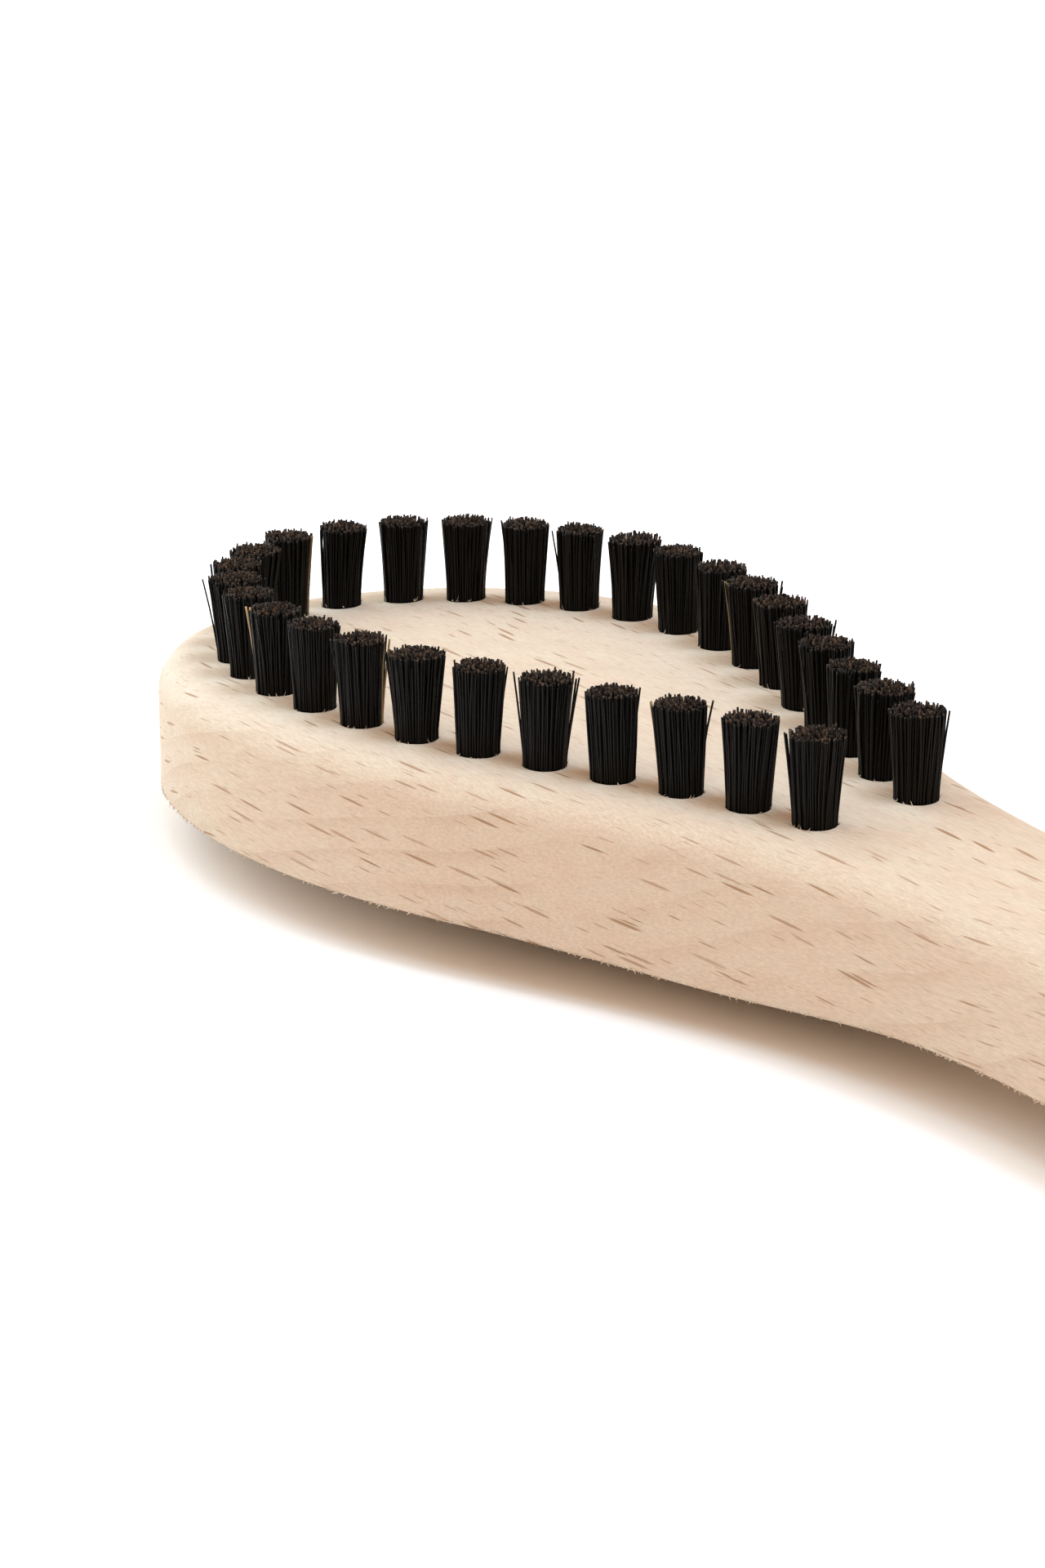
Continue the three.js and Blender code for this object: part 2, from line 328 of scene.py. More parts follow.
def board_levels(points, normals):
    """One side's points, level by level from the face's edge to the flat land of the back."""
    x = points[:, 0]
    radius = measure_at(x, EDGE_RADII)
    rim = measure_at(x, RIM_HEIGHTS)
    land = measure_at(x, LAND_HEIGHTS)
    levels = []
    for step in range(EDGE_STEPS + 1):
        angle = math.pi / 2 * step / EDGE_STEPS
        inset = points - normals * (radius * (1 - math.sin(angle)))[:, None]
        levels.append(np.column_stack([inset, face_height(x) - radius * (1 - math.cos(angle))]))
    wall_top = face_height(x) - radius
    wall_bottom = rim + RIM_WEAR
    for step in range(1, WALL_STEPS + 1):
        share = step / WALL_STEPS
        levels.append(np.column_stack([points, wall_top * (1 - share) + wall_bottom * share]))
    # The lower corner is blunted by one more level just inside the wall
    inset = points - normals * RIM_WEAR * 0.35
    levels.append(np.column_stack([inset, rim + RIM_WEAR * 0.15]))
    for step in range(1, BACK_STEPS + 1):
        share = step / BACK_STEPS
        shrink_length = 1 + (LAND_LENGTH_SHARE - 1) * share
        shrink_width = 1 + (LAND_WIDTH_SHARE - 1) * share
        shrink = np.array([shrink_length, shrink_width])
        rise = (1 - share) ** BACK_CURVE
        levels.append(np.column_stack([points * shrink, land + (rim - land) * rise]))
    return levels


def ladder_cap(ring, rungs, vertices, upward):
    """Faces across a ring, from each station on one side to its mirror image."""
    faces = []
    last = len(ring) // 2
    rows = [[ring[0]] * (rungs + 1)]
    for i in range(1, last):
        left, right = ring[i], ring[-i]
        row = [left]
        for k in range(1, rungs):
            share = k / rungs
            vertices.append(vertices[left] * (1 - share) + vertices[right] * share)
            row.append(len(vertices) - 1)
        rows.append(row + [right])
    rows.append([ring[last]] * (rungs + 1))
    for upper, lower in zip(rows, rows[1:]):
        for k in range(rungs):
            face = [upper[k], lower[k], lower[k + 1], upper[k + 1]]
            face = list(dict.fromkeys(face))
            if len(face) > 2:
                faces.append(face if not upward else face[::-1])
    return faces


def board_mesh():
    points, normals = plan_stations()
    vertices, rings = [], []
    for level in board_levels(points, normals):
        mirrored = level[-2:0:-1] * (1, -1, 1)
        start = len(vertices)
        vertices.extend(np.vstack([level, mirrored]))
        rings.append(list(range(start, len(vertices))))
    faces = []
    for upper, lower in zip(rings, rings[1:]):
        for i in range(len(upper)):
            k = (i + 1) % len(upper)
            faces.append([upper[i], upper[k], lower[k], lower[i]])
    faces += ladder_cap(rings[0], FACE_RUNGS, vertices, upward=True)
    faces += ladder_cap(rings[-1], LAND_RUNGS, vertices, upward=False)
    return vertices, faces


def wavy(vertices):
    """Wall and back are sanded by hand, so they aren't quite even. Face and land stay as they are."""
    moved = []
    for v in vertices:
        place = Vector(v)
        below_face = smoothstep(face_height(v[0]) - v[2], 0, 3 * MM)
        above_land = smoothstep(v[2], 0, 2 * MM)
        slow = noise.noise(place / SLOW_WAVE)
        fine = noise.noise(place / FINE_WAVE)
        push = WAVINESS * below_face * above_land * (slow + FINE_WAVE_SHARE * fine)
        outward = np.array([0.3 * v[0] / END_X, v[1] / HEAD_HALF_WIDTH, 0])
        moved.append(v + outward * push)
    return moved


def turned(profile, sides, place):
    """Closed solid of revolution about an upright axis; place moves a point to where it goes."""
    vertices, faces = [], []
    for radius, height in profile:
        for k in range(sides):
            angle = 2 * math.pi * k / sides
            vertices.append(place(radius, angle, height))
    for level in range(len(profile) - 1):
        for k in range(sides):
            after = (k + 1) % sides
            low, high = level * sides, (level + 1) * sides
            faces.append([low + k, low + after, high + after, high + k])
    faces.append(list(range(sides))[::-1])
    faces.append([(len(profile) - 1) * sides + k for k in range(sides)])
    return vertices, faces


def hole_cutter(centres):
    """One drill per tuft. Near the face its outline is ragged, so the mouth comes out torn."""
    vertices, faces = [], []
    for cx, cy in centres:
        def place(radius, angle, height):
            near_face = 1 if height > -TORN_DEPTH else 0
            own_place = cx * 900 + cy * 500          # gives each hole a mouth of its own
            across, along = math.cos(angle) * MOUTH_LOBES, math.sin(angle) * MOUTH_LOBES
            torn = noise.noise(Vector((across, along, own_place)))
            r = radius + near_face * MOUTH_TEAR * torn
            x, y = cx + r * math.cos(angle), cy + r * math.sin(angle)
            level = face_height(x) if near_face else face_height(cx)
            return (x, y, level + height)
        profile = [
            (0.05 * MM, -HOLE_DEPTH - DRILL_POINT),
            (HOLE_RADIUS, -HOLE_DEPTH),
            (HOLE_RADIUS, -0.5 * MM),
            (HOLE_RADIUS, -0.25 * MM),
            (HOLE_RADIUS, CUT_OVERRUN),
        ]
        new_vertices, new_faces = turned(profile, HOLE_SIDES, place)
        shift = len(vertices)
        vertices += new_vertices
        faces += [[i + shift for i in face] for face in new_faces]
    return new_object("hole_cutter", vertices, faces, [])


def slot_cutter(centres):
    """The space that each driven anchor has pressed into the wood."""
    vertices, faces = [], []
    length, width, height = SLOT_SIZE
    for cx, cy in centres:
        shift = len(vertices)
        for sz in (-1, 1):
            for sx, sy in ((-1, -1), (1, -1), (1, 1), (-1, 1)):
                u, v = sx * length / 2, sy * width / 2
                x = cx + u * math.cos(ANCHOR_ANGLE) - v * math.sin(ANCHOR_ANGLE)
                y = cy + u * math.sin(ANCHOR_ANGLE) + v * math.cos(ANCHOR_ANGLE)
                vertices.append((x, y, face_height(cx) - ANCHOR_DEPTH + sz * height / 2))
        box = [[0, 3, 2, 1], [4, 5, 6, 7], [0, 1, 5, 4], [1, 2, 6, 5], [2, 3, 7, 6], [3, 0, 4, 7]]
        faces += [[i + shift for i in face] for face in box]
    return new_object("slot_cutter", vertices, faces, [])


def cut_away(target, cutter):
    cut = target.modifiers.new("cut", "BOOLEAN")
    cut.operation = "DIFFERENCE"
    cut.solver = "MANIFOLD"
    cut.object = cutter
    bpy.context.view_layer.update()
    evaluated = target.evaluated_get(bpy.context.evaluated_depsgraph_get())
    mesh = bpy.data.meshes.new_from_object(evaluated)
    target.modifiers.clear()
    old = target.data
    target.data = mesh
    mesh.name = old.name
    bpy.data.meshes.remove(old)
    bpy.data.objects.remove(cutter)


def make_board(centres, material):
    vertices, faces = board_mesh()
    board = new_object("beech_board", wavy(vertices), faces, [material])
    cut_away(board, hole_cutter(centres))
    cut_away(board, slot_cutter(centres))
    board.data.shade_smooth()
    board.data.set_sharp_from_angle(angle=math.radians(35))
    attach(board, "root")
    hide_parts("beech_body")


# ---------------------------------------------------------------- bristles

def half_disc_places(rng):
    """Jittered close-packed places of the bristles on one side of an anchor, as (along, away)."""
    places = []
    reach = BUNDLE_RADIUS - BRISTLE_RADIUS
    rows = int(reach / ROW_SPACING) + 1
    for row in range(rows):
        away = (row + 0.5) * ROW_SPACING
        for column in range(-rows - 1, rows + 2):
            along = (column + 0.5 * (row % 2)) * BRISTLE_PITCH
            if math.hypot(along, away) <= reach:
                places.append((along, away))
    places = np.array(places)
    return places + rng.normal(0, PLACE_JITTER, places.shape)


def bristle_paths(rng, centre, level):
    """Centre lines of one tuft's bristles, each from one tip down round the anchor to the other.

    Returns the points, (bristles, steps, 3), and how far up its leg each point is, from 0 at
    the face to 1 at the tip."""
    places = half_disc_places(rng)
    count = len(places)
    plate = np.array([math.cos(ANCHOR_ANGLE), math.sin(ANCHOR_ANGLE)])
    across = np.array([-plate[1], plate[0]])
    top_scale = (TOP_RADIUS / BUNDLE_RADIUS) * rng.uniform(*TUFT_TOPS)
    lean = rng.normal(0, TUFT_LEAN, 2)
    squash = 1 + rng.normal(0, TUFT_SQUASH, 2)

    legs = []
    for side in (1, -1):
        local = places * (1, side) + rng.normal(0, LEG_JITTER, places.shape)
        base = local[:, :1] * plate + local[:, 1:] * across
        spread = np.linalg.norm(base, axis=1) / BUNDLE_RADIUS
        stray = np.where(rng.random(count) < STRAY_SHARE, STRAY_TIP, USUAL_TIP)
        top = base * top_scale * squash + lean + rng.normal(0, 1, (count, 2)) * stray[:, None]
        outward = base / np.linalg.norm(base, axis=1)[:, None]
        splayed = (spread > OUTER_SPREAD) & (rng.random(count) < SPLAYED_SHARE)
        top += outward * np.where(splayed, rng.uniform(*SPLAY, count), 0)[:, None]
        height = TUFT_HEIGHT - DOME * spread ** 2 + rng.normal(0, TRIM_ERROR, count)
        height -= np.where(rng.random(count) < SHORT_SHARE, rng.uniform(*SHORTER_BY, count), 0)
        bow = rng.normal(0, BOW, (count, 2))
        leg = np.zeros((count, len(LEG_STEPS), 3))
        for k, t in enumerate(LEG_STEPS):
            up = max(t, 0)
            flat = base + (top - base) * up ** 1.25 + bow * math.sin(math.pi * up)
            leg[:, k, :2] = flat
            leg[:, k, 2] = height * t
        # Beside the anchor the bundle is parted by the plate
        parted_away = BUNDLE_PARTING + np.abs(local[:, 1]) * (1 - BUNDLE_PARTING / BUNDLE_RADIUS)
        beside = local[:, :1] * plate + (side * parted_away)[:, None] * across
        low = np.zeros((count, 2, 3))
        for k, depth in enumerate((-0.55 * ANCHOR_DEPTH, -1.1 * ANCHOR_DEPTH)):
            low[:, k, :2] = beside
            low[:, k, 2] = depth
        legs.append((np.concatenate([leg, low], axis=1), parted_away, local[:, 0]))

    (first, away_1, along_1), (second, away_2, along_2) = legs
    fold_depth = -ANCHOR_DEPTH - FOLD_DROP - FOLD_SPREAD * away_1 / BUNDLE_RADIUS
    fold = np.zeros((count, 3, 3))
    for k, share in enumerate((0.6, 0, -0.6)):
        away = share * np.where(share > 0, away_1, away_2)
        along = (along_1 + along_2) / 2
        fold[:, k, :2] = along[:, None] * plate + away[:, None] * across
        fold[:, k, 2] = fold_depth + (0.25 * MM if share else 0)
    paths = np.concatenate([first, fold, second[:, ::-1]], axis=1)
    paths += np.array([centre[0], centre[1], level])
    up_leg = np.clip((paths[:, :, 2] - level) / TUFT_HEIGHT, 0, 1)
    return paths, up_leg


def tubes(paths, radii, sides):
    """Closed tubes round the paths: vertices and faces, all paths at once."""
    count, steps, _ = paths.shape
    tangent = np.gradient(paths, axis=1)
    tangent /= np.linalg.norm(tangent, axis=2, keepdims=True)
    chord = paths[:, -1] - paths[:, 0]
    flat_normal = np.cross(chord, [0, 0, 1])
    flat_normal /= np.linalg.norm(flat_normal, axis=1, keepdims=True)
    flat_normal = flat_normal[:, None, :]
    side = flat_normal - tangent * np.sum(flat_normal * tangent, axis=2, keepdims=True)
    side /= np.linalg.norm(side, axis=2, keepdims=True)
    other = np.cross(tangent, side)
    angles = 2 * math.pi * np.arange(sides) / sides
    ring = (side[:, :, None, :] * np.cos(angles)[None, None, :, None]
            + other[:, :, None, :] * np.sin(angles)[None, None, :, None])
    vertices = paths[:, :, None, :] + ring * radii[:, :, None, None]

    quads = []
    for s in range(steps - 1):
        for k in range(sides):
            after = (k + 1) % sides
            low, high = s * sides, (s + 1) * sides
            quads.append([low + k, low + after, high + after, high + k])
    quads = np.array(quads)
    per_tube = steps * sides
    shifts = np.arange(count) * per_tube
    faces = (quads[None] + shifts[:, None, None]).reshape(-1, 4).tolist()
    for shift in shifts:
        faces.append([shift + k for k in range(sides)][::-1])
        faces.append([shift + (steps - 1) * sides + k for k in range(sides)])
    return vertices.reshape(-1, 3), faces


def lean_out(paths, centre, side, splay, blond, paleness):
    """Find the bristle whose first leg stands outermost on this side; make it pale and splay it."""
    outward = np.array([math.cos(side), math.sin(side)])
    at_face = paths[:, FACE_STEP, :2] - centre
    chosen = int(np.argmax(at_face @ outward))
    blond[chosen] = paleness
    for step, share in enumerate((1, 0.95, 0.6, 0.25)):
        paths[chosen, step, :2] += outward * (splay + 0.12 * MM) * share


def make_tuft(name, rng, material):
    centre = tuft_centre(name)
    paths, up_leg = bristle_paths(rng, centre, face_height(centre[0]))
    count = len(paths)
    width = rng.uniform(*WIDTHS, count)
    radii = BRISTLE_RADIUS * width[:, None] * np.ones_like(up_leg)
    radii *= 1 - TAPER * up_leg
    tone = rng.random(count)
    blond = np.where(rng.random(count) < BLOND_SHARE, rng.uniform(*BLOND_PALENESS, count), 0)
    steps = paths.shape[1]
    for tuft_name, side, paleness, splay in PALE_BRISTLES:
        if tuft_name == name:
            lean_out(paths, centre, math.radians(side), splay, blond, paleness)
    vertices, faces = tubes(paths, radii, BRISTLE_SIDES)
    tuft = new_object(name + "_bristles", vertices, faces, [material])

    values = np.zeros((count, steps, BRISTLE_SIDES, 4), np.float32)
    values[..., 0] = tone[:, None, None]
    values[..., 1] = up_leg[:, :, None]
    values[..., 2] = blond[:, None, None]
    values[..., 3] = 1
    attribute = tuft.data.attributes.new("bristle", "FLOAT_COLOR", "POINT")
    attribute.data.foreach_set("color", values.reshape(-1))
    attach(tuft, "root")
    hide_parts(name)


def make_last_anchor(material):
    """The anchor of the last tuft has no part of its own: it is the one before it, moved along."""
    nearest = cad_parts["anchor_right_14"]
    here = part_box("tuft_right_14")[0]
    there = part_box("tuft_right_15")[0]
    anchor = bpy.data.objects.new("anchor_right_15_wire", nearest.data.copy())
    bpy.context.scene.collection.objects.link(anchor)
    anchor.matrix_world = Matrix.Translation(there - here) @ nearest.matrix_world
    anchor.data.materials.clear()
    anchor.data.materials.append(material)
    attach(anchor, "root")


# ---------------------------------------------------------------- torn wood fibres

def sliver(rng, start, heading, rise):
    """Path of one torn fibre: it leaves the wood along its heading and curls up by its rise."""
    length = rng.uniform(*FIBRE_LENGTH)
    path = []
    for share in (-0.3, 0, 0.55, 1):
        lift = rise * length * max(share, 0) ** 1.5
        path.append(start + heading * length * share + np.array([0, 0, lift]))
    return path


def mouth_slivers(rng, centres):
    paths = []
    for cx, cy in centres:
        for angle in rng.uniform(0, 2 * math.pi, MOUTH_FIBRES):
            out = np.array([math.cos(angle), math.sin(angle), 0])
            start = np.array([cx, cy, 0]) + out * (HOLE_RADIUS + 0.03 * MM)
            start[2] = face_height(start[0])
            along_grain = np.array([rng.choice([-1, 1]) * 0.8, 0, 0])
            paths.append(sliver(rng, start, along_grain - 0.1 * out, rng.uniform(0.4, 1.5)))
    return paths


def rim_slivers(rng):
    points, normals = plan_stations()
    rim = measure_at(points[:, 0], RIM_HEIGHTS)
    paths = []
    for mirror in (1, -1):
        for station in rng.integers(3, STATIONS - 2, RIM_FIBRES):
            x, y = points[station]
            out = np.array([normals[station, 0], mirror * normals[station, 1], 0])
            along_rim = np.array([-out[1], out[0], 0]) * rng.choice([-1, 1])
            start = np.array([x, mirror * y, rim[station]]) - out * 0.06 * MM
            start[2] += rng.uniform(0, 0.12 * MM)
            heading = along_rim * 0.75 + out * rng.uniform(0.1, 0.4)
            paths.append(sliver(rng, start, heading, rng.uniform(-0.9, 0.0)))
    return paths


def make_fibres(centres, rng, material):
    paths = np.array(mouth_slivers(rng, centres) + rim_slivers(rng))
    thickness = FIBRE_RADIUS * rng.uniform(0.5, 1.6, len(paths))
    radii = thickness[:, None] * np.array([1.0, 1.0, 0.7, 0.25])
    vertices, faces = tubes(paths, radii, 4)
    fibres = new_object("torn_fibres", vertices, faces, [material])
    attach(fibres, "root")


# ---------------------------------------------------------------- materials

def new_material(name):
    material = bpy.data.materials.new(name)
    material.use_nodes = True
    return material, material.node_tree, material.node_tree.nodes["Principled BSDF"]


def add_node(tree, kind, inputs=None, **settings):
    """A node with its settings; an input is a number, a colour or another node's output."""
    made = tree.nodes.new(kind)
    for key, value in settings.items():
        setattr(made, key, value)
    for key, value in (inputs or {}).items():
        if isinstance(value, bpy.types.NodeSocket):
            tree.links.new(value, made.inputs[key])
        else:
            made.inputs[key].default_value = value
    return made


def calc(tree, operation, a, b=0.0, c=0.0):
    return add_node(tree, "ShaderNodeMath", {0: a, 1: b, 2: c}, operation=operation).outputs[0]


def calc_vector(tree, operation, a, b):
    return add_node(tree, "ShaderNodeVectorMath", {0: a, 1: b}, operation=operation).outputs[0]


def ramp(tree, value, low, high, to_low=0.0, to_high=1.0):
    inputs = {"Value": value, "From Min": low, "From Max": high, "To Min": to_low, "To Max": to_high}
    return add_node(tree, "ShaderNodeMapRange", inputs, interpolation_type="SMOOTHSTEP").outputs["Result"]


def mix(tree, factor, a, b, blend_type="MIX"):
    made = add_node(tree, "ShaderNodeMix", data_type="RGBA", blend_type=blend_type)
    for key, value in (("Factor_Float", factor), ("A_Color", a), ("B_Color", b)):
        socket = next(s for s in made.inputs if s.identifier == key)
        if isinstance(value, bpy.types.NodeSocket):
            tree.links.new(value, socket)
        else:
            socket.default_value = value
    return next(s for s in made.outputs if s.identifier == "Result_Color")


def stretched(tree, coordinates, size, turn=0.0):
    """Coordinates in which a cell of this size, in metres, is one unit on each side."""
    inputs = {"Vector": coordinates, "Scale": size, "Rotation": (turn, 0, 0)}
    return add_node(tree, "ShaderNodeMapping", inputs, vector_type="TEXTURE").outputs[0]


def grain_noise(tree, coordinates, size, detail=2.0, roughness=0.5):
    vector = stretched(tree, coordinates, size)
    inputs = {"Vector": vector, "Scale": 1.0, "Detail": detail, "Roughness": roughness}
    return add_node(tree, "ShaderNodeTexNoise", inputs).outputs["Fac"]


def fleck_mask(tree, coordinates, size, reach, kept, turn):
    """Spindle-shaped ray flecks, scattered one to a cell, from 0 to 1."""
    vector = stretched(tree, coordinates, size, turn)
    cells = add_node(tree, "ShaderNodeTexVoronoi", {"Vector": vector, "Scale": 1.0, "Randomness": 1.0})
    chance = add_node(tree, "ShaderNodeSeparateColor", {"Color": cells.outputs["Color"]}).outputs
    radius = calc(tree, "MULTIPLY_ADD", chance[1], reach * 0.6, reach * 0.4)
    inside = calc(tree, "DIVIDE", calc(tree, "SUBTRACT", radius, cells.outputs["Distance"]), radius)
    spot = ramp(tree, inside, 0.0, 0.45)
    present = calc(tree, "LESS_THAN", chance[0], kept)
    strength = calc(tree, "MULTIPLY_ADD", chance[2], 0.5, 0.5)
    return calc(tree, "MULTIPLY", calc(tree, "MULTIPLY", spot, present), strength)


def beech_material():
    material, tree, shader = new_material("beech")
    place = add_node(tree, "ShaderNodeTexCoord").outputs["Object"]
    normal = add_node(tree, "ShaderNodeNewGeometry").outputs["Normal"]
    upward = add_node(tree, "ShaderNodeSeparateXYZ", {0: normal}).outputs["Z"]

    # The grain runs along the brush and wanders a little
    drift_noise = {"Vector": place, "Scale": 22.0, "Detail": 1.0}
    drift = add_node(tree, "ShaderNodeTexNoise", drift_noise).outputs["Color"]
    drift = calc_vector(tree, "SUBTRACT", drift, (0.5, 0.5, 0.5))
    drift = calc_vector(tree, "MULTIPLY", drift, (0.0, 4 * MM, 4 * MM))
    grain = calc_vector(tree, "ADD", place, drift)

    strong = fleck_mask(tree, grain, STRONG_CELL, STRONG_REACH, STRONG_KEPT, RAY_TURN)
    faint = fleck_mask(tree, grain, FAINT_CELL, FAINT_REACH, FAINT_KEPT, RAY_TURN)

    # Growth rings: surfaces that climb towards the handle, each dark on its upper side only
    parts = add_node(tree, "ShaderNodeSeparateXYZ", {0: grain}).outputs
    ring_place = calc(tree, "MULTIPLY_ADD", parts["Y"], RING_SLOPE_ACROSS, parts["Z"])
    ring_place = calc(tree, "MULTIPLY_ADD", parts["X"], RING_SLOPE_ALONG, ring_place)
    wander = grain_noise(tree, place, (60 * MM, 25 * MM, 25 * MM), detail=1.0)
    ring_place = calc(tree, "MULTIPLY_ADD", wander, RING_WANDER, ring_place)
    ring_share = calc(tree, "FRACT", calc(tree, "DIVIDE", ring_place, RING_SPACING))
    slow_rise = ramp(tree, ring_share, 0.45, 0.97)
    quick_fall = ramp(tree, ring_share, 1.0, 0.98)
    late_wood = calc(tree, "MULTIPLY", slow_rise, quick_fall)
    patchy = grain_noise(tree, place, (20 * MM, 8 * MM, 8 * MM), detail=1.0)
    late_wood = calc(tree, "MULTIPLY", late_wood, ramp(tree, patchy, 0.35, 0.7, 0.1, 1.0))

    # Cream on the face, tan on the wall, mottled all over
    side_tone = ramp(tree, upward, 0.75, 0.15)
    colour = mix(tree, side_tone, CREAM, TAN)
    mottle = grain_noise(tree, place, (7 * MM, 2.2 * MM, 2.2 * MM), detail=4.0, roughness=0.6)
    colour = mix(tree, ramp(tree, mottle, 0.3, 0.7, 0.0, 0.75), colour, MOTTLE)

    # Painted highlight: the rounded edge between face and wall is painted pale in fine patches
    edge_band = calc(tree, "MULTIPLY", ramp(tree, upward, 0.1, 0.5), ramp(tree, upward, 0.97, 0.7))
    fuzz = grain_noise(tree, place, (0.42 * MM, 0.17 * MM, 0.17 * MM), detail=3.0, roughness=0.6)
    edge_highlight = calc(tree, "MULTIPLY", edge_band, ramp(tree, fuzz, 0.42, 0.72, 0.0, 0.75))
    colour = mix(tree, edge_highlight, colour, EDGE_HIGHLIGHT)

    # The rings show more on the wall than on the face
    ring_strength = ramp(tree, upward, 0.9, 0.3, 0.1, 0.36)
    colour = mix(tree, calc(tree, "MULTIPLY", late_wood, ring_strength), colour, RING_COLOUR)

    speckle = grain_noise(tree, place, (1.3 * MM, 0.2 * MM, 0.2 * MM), detail=3.0, roughness=0.65)
    shade = ramp(tree, speckle, 0.3, 0.7, 0.92, 1.08)
    grey = {"Red": shade, "Green": shade, "Blue": shade}
    shade = add_node(tree, "ShaderNodeCombineColor", grey).outputs[0]
    colour = mix(tree, 1.0, colour, shade, blend_type="MULTIPLY")

    fibre = grain_noise(tree, grain, (2.4 * MM, 0.13 * MM, 0.13 * MM), detail=2.0)
    colour = mix(tree, ramp(tree, fibre, 0.45, 0.75, 0.0, 0.16), colour, FIBRE)
    colour = mix(tree, calc(tree, "MULTIPLY", faint, 0.6), colour, FAINT_COLOUR)
    colour = mix(tree, calc(tree, "MULTIPLY", strong, 0.95), colour, STRONG_COLOUR)
    tree.links.new(colour, shader.inputs["Base Color"])

    shader.inputs["Specular IOR Level"].default_value = 0.18
    roughness = calc(tree, "MULTIPLY_ADD", fibre, 0.2, 0.6)
    tree.links.new(roughness, shader.inputs["Roughness"])

    fine = grain_noise(tree, place, (0.5 * MM, 0.13 * MM, 0.13 * MM), detail=3.0, roughness=0.6)
    relief = calc(tree, "MULTIPLY_ADD", fibre, 0.6, calc(tree, "MULTIPLY", fine, 0.5))
    relief = calc(tree, "SUBTRACT", relief, calc(tree, "MULTIPLY", strong, 0.5))
    bump = add_node(tree, "ShaderNodeBump", {"Height": relief, "Strength": 0.5, "Distance": 0.06 * MM})
    tree.links.new(bump.outputs[0], shader.inputs["Normal"])
    return material


def bristle_material():
    material, tree, shader = new_material("bristle")
    values = add_node(tree, "ShaderNodeAttribute", attribute_name="bristle").outputs["Color"]
    tone, up_leg, blond = add_node(tree, "ShaderNodeSeparateColor", {0: values}).outputs[:3]
    place = add_node(tree, "ShaderNodeTexCoord").outputs["Object"]
    streak = grain_noise(tree, place, (0.08 * MM, 0.08 * MM, 1.6 * MM), detail=2.0)

    colour = mix(tree, ramp(tree, tone, 0.6, 1.0, 0.0, 0.7), BLACK, BROWN)
    colour = mix(tree, ramp(tree, streak, 0.4, 0.8, 0.0, 0.35), colour, STREAK)
    tip_colour = mix(tree, calc(tree, "POWER", tone, 2.0), DARK_TIP, LIGHT_TIP)
    at_tip = ramp(tree, up_leg, 0.955, 0.99)
    colour = mix(tree, calc(tree, "MULTIPLY", at_tip, 0.9), colour, tip_colour)
    colour = mix(tree, blond, colour, BLOND)
    tree.links.new(colour, shader.inputs["Base Color"])

    # The cut ends are dull
    shader.inputs["Specular IOR Level"].default_value = 0.13
    roughness = calc(tree, "MAXIMUM", ramp(tree, streak, 0.3, 0.8, 0.25, 0.42), at_tip)
    tree.links.new(roughness, shader.inputs["Roughness"])
    bump = add_node(tree, "ShaderNodeBump", {"Height": streak, "Strength": 0.2, "Distance": 0.01 * MM})
    tree.links.new(bump.outputs[0], shader.inputs["Normal"])
    return material


def wire_material():
    material, tree, shader = new_material("anchor_wire")
    place = add_node(tree, "ShaderNodeTexCoord").outputs["Object"]
    drawn = grain_noise(tree, place, (1.2 * MM, 1.2 * MM, 0.04 * MM), detail=3.0)
    colour = mix(tree, ramp(tree, drawn, 0.3, 0.7), DULL_WIRE, BRIGHT_WIRE)
    tree.links.new(colour, shader.inputs["Base Color"])
    shader.inputs["Metallic"].default_value = 1.0
    tree.links.new(ramp(tree, drawn, 0.3, 0.7, 0.25, 0.45), shader.inputs["Roughness"])
    return material


# ---------------------------------------------------------------- stage

def direction(azimuth, elevation):
    """From the object towards a camera or lamp at this azimuth and elevation."""
    return Vector((
        math.sin(azimuth) * math.cos(elevation),
        -math.cos(azimuth) * math.cos(elevation),
        math.sin(elevation),
    ))


def make_camera():
    data = bpy.data.cameras.new("camera")
    data.lens = CAMERA_LENS
    data.sensor_width = CAMERA_SENSOR
    data.clip_start = 0.02
    data.clip_end = 20
    camera = bpy.data.objects.new("camera", data)
    back = direction(CAMERA_AZIMUTH, CAMERA_ELEVATION)
    camera.location = AIM + back * CAMERA_DISTANCE
    camera.rotation_euler = (-back).to_track_quat("-Z", "Y").to_euler()
    bpy.context.scene.collection.objects.link(camera)
    bpy.context.scene.camera = camera


def place_light(data, azimuth, elevation, distance, power, colour):
    """Put a lamp at this place, in degrees and metres from the aim, and turn it to the aim."""
    data.energy = power
    data.color = colour
    light = bpy.data.objects.new(data.name, data)
    towards = direction(math.radians(azimuth), math.radians(elevation))
    light.location = AIM + towards * distance
    light.rotation_euler = (-towards).to_track_quat("-Z", "Y").to_euler()
    bpy.context.scene.collection.objects.link(light)


def near_lamp(name, azimuth, elevation, distance, size, power, colour):
    data = bpy.data.lights.new(name, "AREA")
    data.shape = "SQUARE"
    data.size = size
    place_light(data, azimuth, elevation, distance, power, colour)


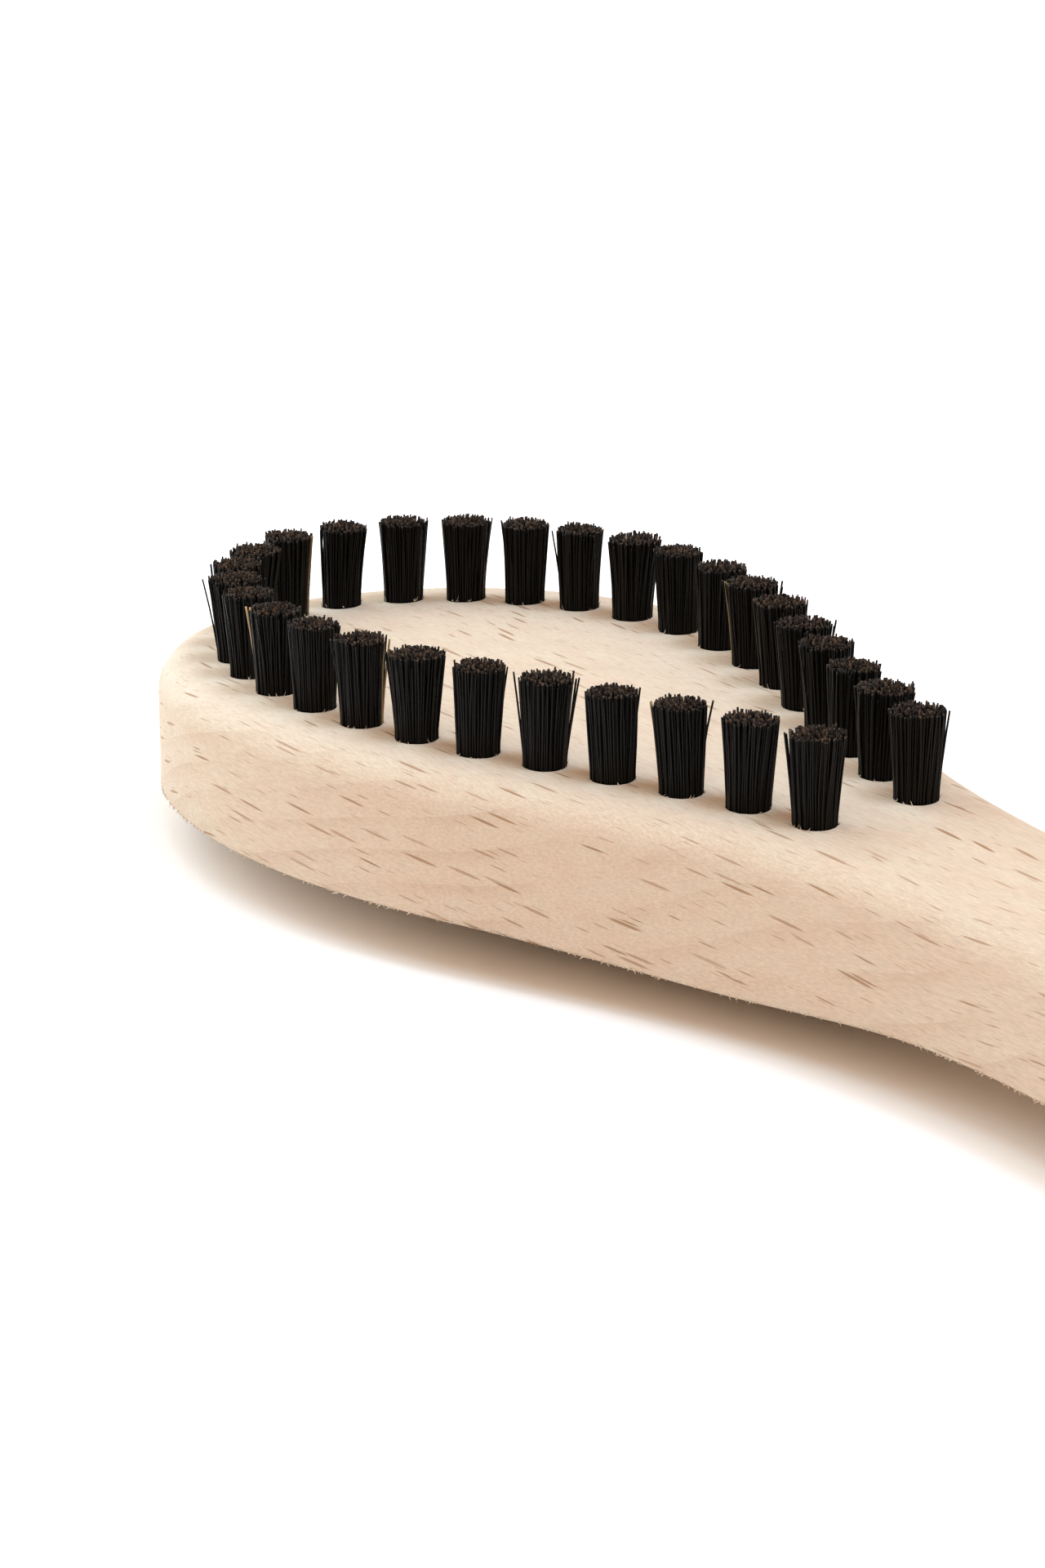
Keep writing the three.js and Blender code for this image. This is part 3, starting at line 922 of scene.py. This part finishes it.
def far_lamp(name, azimuth, elevation, power, colour):
    """Light that is even all over the floor, as from far off, and soft as from a large window."""
    data = bpy.data.lights.new(name, "SUN")
    data.angle = FAR_LAMP_SPREAD
    place_light(data, azimuth, elevation, FAR_LAMP_DISTANCE, power, colour)


def make_floor():
    material, _, shader = new_material("floor")
    shader.inputs["Base Color"].default_value = FLOOR_COLOUR
    shader.inputs["Roughness"].default_value = 0.6
    shader.inputs["Specular IOR Level"].default_value = 0.2
    corners = [Vector((x, y, 0)) for x, y in ((-1, -1), (1, -1), (1, 1), (-1, 1))]
    down = Vector((0, 0, -FLOOR_GAP))
    vertices = [corner * FLOOR_HALF_SIZE + down for corner in corners]
    floor = new_object("floor", vertices, [(0, 1, 2, 3)], [material])
    floor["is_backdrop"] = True


def make_light():
    world = bpy.data.worlds.new("studio")
    world.use_nodes = True
    background = world.node_tree.nodes["Background"]
    background.inputs["Color"].default_value = GLOW_COLOUR
    background.inputs["Strength"].default_value = GLOW
    bpy.context.scene.world = world

    far_lamp("overhead", azimuth=120, elevation=68, power=OVERHEAD, colour=OVERHEAD_COLOUR)
    far_lamp("front", azimuth=60, elevation=68, power=FRONT, colour=FRONT_COLOUR)
    near_lamp("side", azimuth=-75, elevation=28, distance=SIDE_DISTANCE, size=SIDE_SIZE,
              power=SIDE, colour=SIDE_COLOUR)
    bpy.context.scene.view_settings.view_transform = "Standard"


# ---------------------------------------------------------------- build

make_camera()
make_floor()
make_light()

tuft_names = sorted(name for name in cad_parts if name.startswith("tuft_"))
tuft_centres = [tuft_centre(name) for name in tuft_names]

beech = beech_material()
bristle = bristle_material()
wire = wire_material()

make_board(tuft_centres, beech)
for index, name in enumerate(tuft_names):
    make_tuft(name, np.random.default_rng(SEED + index), bristle)

make_fibres(tuft_centres, np.random.default_rng(SEED + len(tuft_names)), beech)

for name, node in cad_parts.items():
    if name.startswith("anchor_"):
        node.data.materials.clear()
        node.data.materials.append(wire)
make_last_anchor(wire)

boxes = {"cad": CAD_BOX, "visual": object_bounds()}
{key: [list(corner) for corner in box] for key, box in boxes.items()}
